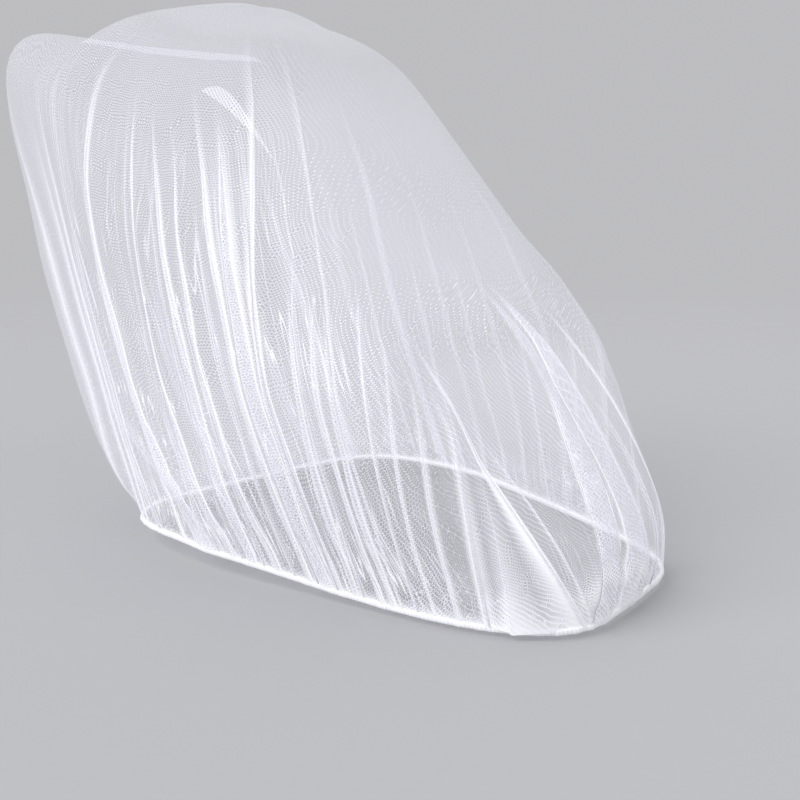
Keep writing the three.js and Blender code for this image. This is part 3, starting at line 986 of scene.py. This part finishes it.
def meshCells(tree, mapName, shift=0, size=1):
    # How far a place is from the nearest thread: the size of the sine of pi times the course number,
    # whose courses wave towards and away from their neighbours by turns, and stray by a slow noise. The
    # shift moves the courses by metres, and the size multiplies the course and the wale.
    place, along, down = mapped(tree, mapName)
    stray = newNode(tree, "ShaderNodeTexNoise", noise_dimensions="2D")
    for name, value in zip(("Scale", "Detail", "Roughness"), netFinish["stray"]):
        stray.inputs[name].default_value = value
    tree.links.new(place, stray.inputs["Vector"])
    strayed = calculated(tree, "MULTIPLY", stray.outputs["Fac"], netFinish["waver"])
    drop = calculated(tree, "ADD", down, strayed)
    course = calculated(tree, "DIVIDE", calculated(tree, "ADD", drop, shift), size * netFinish["course"])
    across = calculated(tree, "ADD", along, strayed)
    wale = calculated(tree, "MULTIPLY", across, 2 * math.pi / (size * netFinish["wale"]))
    sway = calculated(tree, "MULTIPLY", calculated(tree, "COSINE", wale), netFinish["wave"])
    turn = calculated(tree, "COSINE", calculated(tree, "MULTIPLY", course, math.pi))
    bent = calculated(tree, "SUBTRACT", course, calculated(tree, "MULTIPLY", sway, turn))
    wave = calculated(tree, "SINE", calculated(tree, "MULTIPLY", bent, math.pi))
    return calculated(tree, "ABSOLUTE", wave)


def gathers(tree, counts, width, strength, attribute):
    # Thin lines where a noise, drawn out along the drop, passes its middle value
    place, _, _ = mapped(tree, "drape")
    stretched = newNode(tree, "ShaderNodeMapping")
    stretched.inputs["Scale"].default_value = (*counts, 1)
    stretched.inputs["Location"].default_value = netFinish["gathersAt"]
    noise = newNode(tree, "ShaderNodeTexNoise", noise_dimensions="2D")
    noise.inputs["Scale"].default_value = 1
    noise.inputs["Detail"].default_value = 1
    tree.links.new(place, stretched.inputs["Vector"])
    tree.links.new(stretched.outputs["Vector"], noise.inputs["Vector"])
    away = calculated(tree, "ABSOLUTE", calculated(tree, "SUBTRACT", noise.outputs["Fac"], 0.5))
    line = newNode(tree, "ShaderNodeMapRange", interpolation_type="SMOOTHSTEP")
    line.inputs["From Max"].default_value = width
    line.inputs["To Min"].default_value = strength
    line.inputs["To Max"].default_value = 0
    tree.links.new(away, line.inputs["Value"])
    return calculated(tree, "MULTIPLY", line.outputs["Result"], pointValue(tree, attribute))


def doubledLens(tree):
    # Within half a width, swelling by half a sine, of a line that falls ever faster along the stations
    lens = netFinish["lens"]
    _, along, down = mapped(tree, "drape")
    run = calculated(tree, "SUBTRACT", along, lens["station"])
    t = calculated(tree, "DIVIDE", run, lens["length"])
    t = calculated(tree, "MINIMUM", calculated(tree, "MAXIMUM", t, 0), 1)
    fall = calculated(tree, "MULTIPLY", calculated(tree, "POWER", t, lens["curve"]), lens["fall"])
    centre = calculated(tree, "ADD", fall, lens["share"])
    swell = calculated(tree, "SINE", calculated(tree, "MULTIPLY", t, math.pi))
    half = calculated(tree, "MULTIPLY", swell, lens["half"])
    away = calculated(tree, "ABSOLUTE", calculated(tree, "SUBTRACT", down, centre))
    return calculated(tree, "LESS_THAN", away, half)


def mixed(tree, share, a, b):
    # The sum of a and the difference of b and a times the share
    difference = calculated(tree, "SUBTRACT", b, a)
    return calculated(tree, "ADD", a, calculated(tree, "MULTIPLY", difference, share))


def netMaterial():
    # Alpha from the threads, thicker where the net lies denser, evened out where the mesh is drawn more
    # softly, and nearly full along bright edges, gathers and crinkles. The colour turns whiter where the
    # net
    # lies dense or along those edges: a painted highlight along the folds.
    mat = bpy.data.materials.new("white net")
    mat.use_nodes = True
    tree = mat.node_tree
    shader = tree.nodes["Principled BSDF"]
    shader.inputs["Roughness"].default_value = netFinish["roughness"]
    shader.inputs["Specular IOR Level"].default_value = netFinish["specular"]
    shader.inputs["Sheen Weight"].default_value = netFinish["sheen"][0]
    shader.inputs["Sheen Roughness"].default_value = netFinish["sheen"][1]
    edge = pointValue(tree, "edge")
    for lines, where in (("longGathers", "drawn"), ("hemGathers", "hemDrawn"), ("crinkles", "crinkle")):
        edge = calculated(tree, "MAXIMUM", edge, gathers(tree, *netFinish[lines], where))
    lens = doubledLens(tree)
    denser = calculated(tree, "MULTIPLY", lens, netFinish["lens"]["body"])
    body = calculated(tree, "MAXIMUM", pointValue(tree, "body"), denser)
    single = meshCells(tree, "clothRound")
    second = meshCells(tree, "clothRound", shift=netFinish["lens"]["shift"])
    double = calculated(tree, "MINIMUM", single, second)
    away = mixed(tree, lens, single, double)
    small = meshCells(tree, "clothRound", size=netFinish["fineSize"])
    away = mixed(tree, pointValue(tree, "fine"), away, small)
    away = mixed(tree, pointValue(tree, "crownShare"), away, meshCells(tree, "clothCrown"))
    where = newNode(tree, "ShaderNodeTexCoord")
    cloud = newNode(tree, "ShaderNodeTexNoise")
    scale, detail, least, span = netFinish["cloud"]
    cloud.inputs["Scale"].default_value = scale
    cloud.inputs["Detail"].default_value = detail
    tree.links.new(where.outputs["Object"], cloud.inputs["Vector"])
    uneven = calculated(tree, "MULTIPLY", cloud.outputs["Fac"], span)
    thread = mixed(tree, body, netFinish["thread"], netFinish["denseThread"])
    thread = calculated(tree, "MULTIPLY", thread, calculated(tree, "ADD", uneven, least))
    cover = newNode(tree, "ShaderNodeMapRange", interpolation_type="SMOOTHSTEP")
    cover.inputs["To Min"].default_value = netFinish["threadAlpha"]
    cover.inputs["To Max"].default_value = netFinish["haze"]
    tree.links.new(away, cover.inputs["Value"])
    blur = mixed(tree, body, netFinish["threadBlur"], netFinish["denseBlur"])
    tree.links.new(calculated(tree, "SUBTRACT", thread, blur), cover.inputs["From Min"])
    tree.links.new(calculated(tree, "ADD", thread, blur), cover.inputs["From Max"])
    haze = mixed(tree, body, netFinish["meanAlpha"], netFinish["denseAlpha"])
    hazy = calculated(tree, "MULTIPLY", pointValue(tree, "hazy"), netFinish["hazeShare"])
    alpha = mixed(tree, hazy, cover.outputs["Result"], haze)
    alpha = mixed(tree, edge, alpha, netFinish["edgeAlpha"])
    tree.links.new(alpha, shader.inputs["Alpha"])
    # Whiter where the net lies dense or along edges, gathers and crinkles: a painted highlight along the
    # folds
    dense = calculated(tree, "MAXIMUM", edge, body)
    colour = tinted(tree, dense, netFinish["sheerColour"], netFinish["denseHighlightColour"])
    tree.links.new(colour, shader.inputs["Base Color"])
    return mat


tapeFinish = {
    "colour": (0.93, 0.93, 0.955),
    # Darker colour where the ribs sink: painted shade in the grooves
    "grooveShadeColour": (0.80, 0.80, 0.85),
    "rib": 0.0016,
    "thread": 0.0012,
    "roughness": 0.85,
    "specular": 0.2,
    "sheen": 0.2,
    "bump": (0.5, 0.0003),  # strength, and metres
}


def tapeMaterial():
    # Its rise and its colour follow the product of a sine along the tape and a sine round it. The colour
    # darkens where the rise is low: painted shade in the grooves between the ribs.
    mat = bpy.data.materials.new("elastic tape")
    mat.use_nodes = True
    tree = mat.node_tree
    shader = tree.nodes["Principled BSDF"]
    shader.inputs["Roughness"].default_value = tapeFinish["roughness"]
    shader.inputs["Specular IOR Level"].default_value = tapeFinish["specular"]
    shader.inputs["Sheen Weight"].default_value = tapeFinish["sheen"]
    _, along, across = mapped(tree, "tapeMap")
    along = calculated(tree, "MULTIPLY", along, 2 * math.pi / tapeFinish["rib"])
    across = calculated(tree, "MULTIPLY", across, 2 * math.pi / tapeFinish["thread"])
    ribs = calculated(tree, "MULTIPLY", calculated(tree, "SINE", along), calculated(tree, "SINE", across))
    share = calculated(tree, "MULTIPLY", calculated(tree, "ADD", ribs, 1), 0.5)
    # Darker where the rise is low: painted shade in the grooves between the ribs
    colour = tinted(tree, share, tapeFinish["grooveShadeColour"], tapeFinish["colour"])
    tree.links.new(colour, shader.inputs["Base Color"])
    bump = newNode(tree, "ShaderNodeBump")
    bump.inputs["Strength"].default_value = tapeFinish["bump"][0]
    bump.inputs["Distance"].default_value = tapeFinish["bump"][1]
    tree.links.new(share, bump.inputs["Height"])
    tree.links.new(bump.outputs["Normal"], shader.inputs["Normal"])
    return mat


net.data.materials.append(netMaterial())
edging.data.materials.append(tapeMaterial())
print("stage: finishes")

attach(net, "root")
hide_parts("net_sheet")
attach(edging, "root")
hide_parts("elastic_edging")
